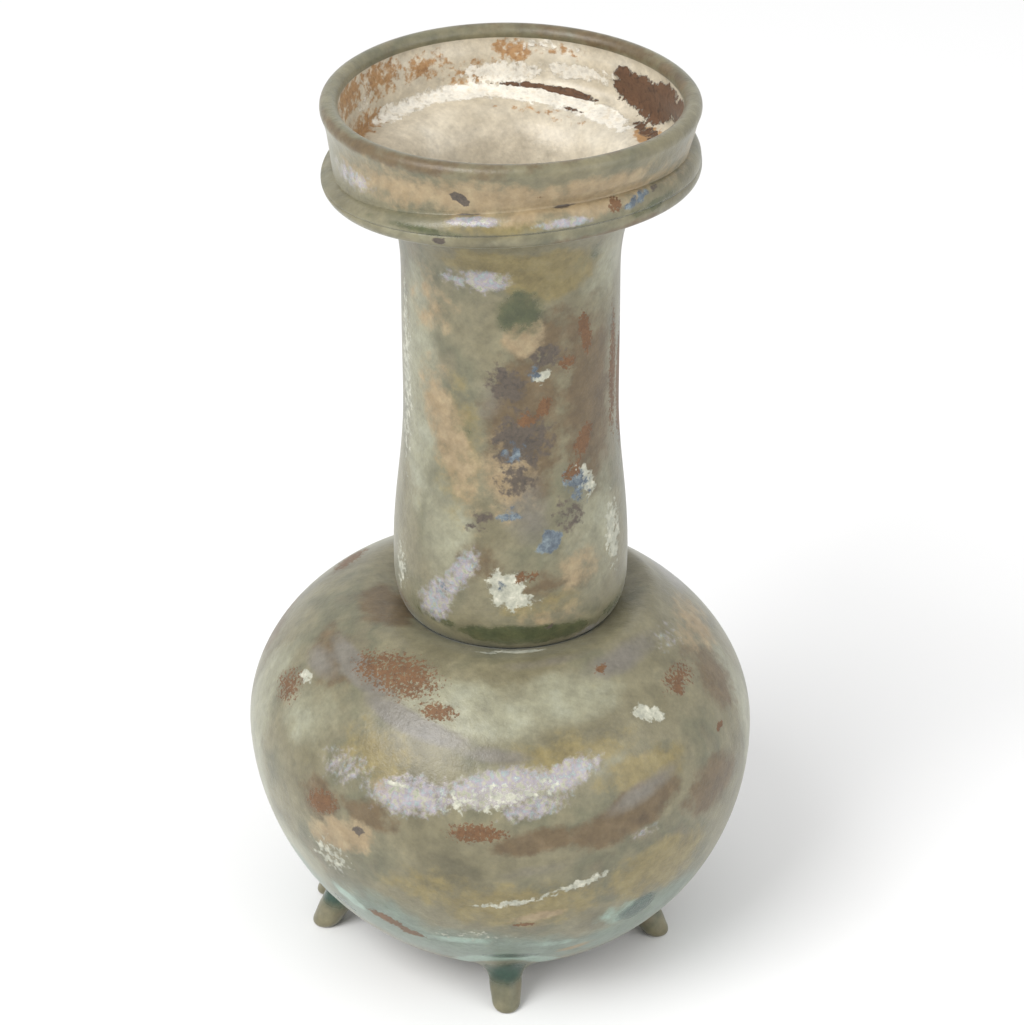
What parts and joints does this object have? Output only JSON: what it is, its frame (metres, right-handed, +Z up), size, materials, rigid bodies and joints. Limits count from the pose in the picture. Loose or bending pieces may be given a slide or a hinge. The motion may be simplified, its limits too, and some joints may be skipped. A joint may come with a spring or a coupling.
{
  "type": "glass perfume flask",
  "caption": "Free-blown glass flask: round body on small pinched feet, tall neck, and a cup-shaped mouth over a folded collar.",
  "frame": {"origin": "on the plane that the feet stand on, under the middle of the body", "axes": "+Z up along the neck; -Y is the front, where one foot points towards the viewer; +X to the right"},
  "size_m": [0.0716, 0.0716, 0.13],
  "materials": {
    "weathered_glass": "free-blown olive-green glass, weathered and translucent, with a tan soil film, rust-brown and white crust inside the mouth, dark pitted spots and iridescent patches"
  },
  "bodies": {
    "root": {"glass_flask": "weathered_glass"}
  },
  "joints": []
}
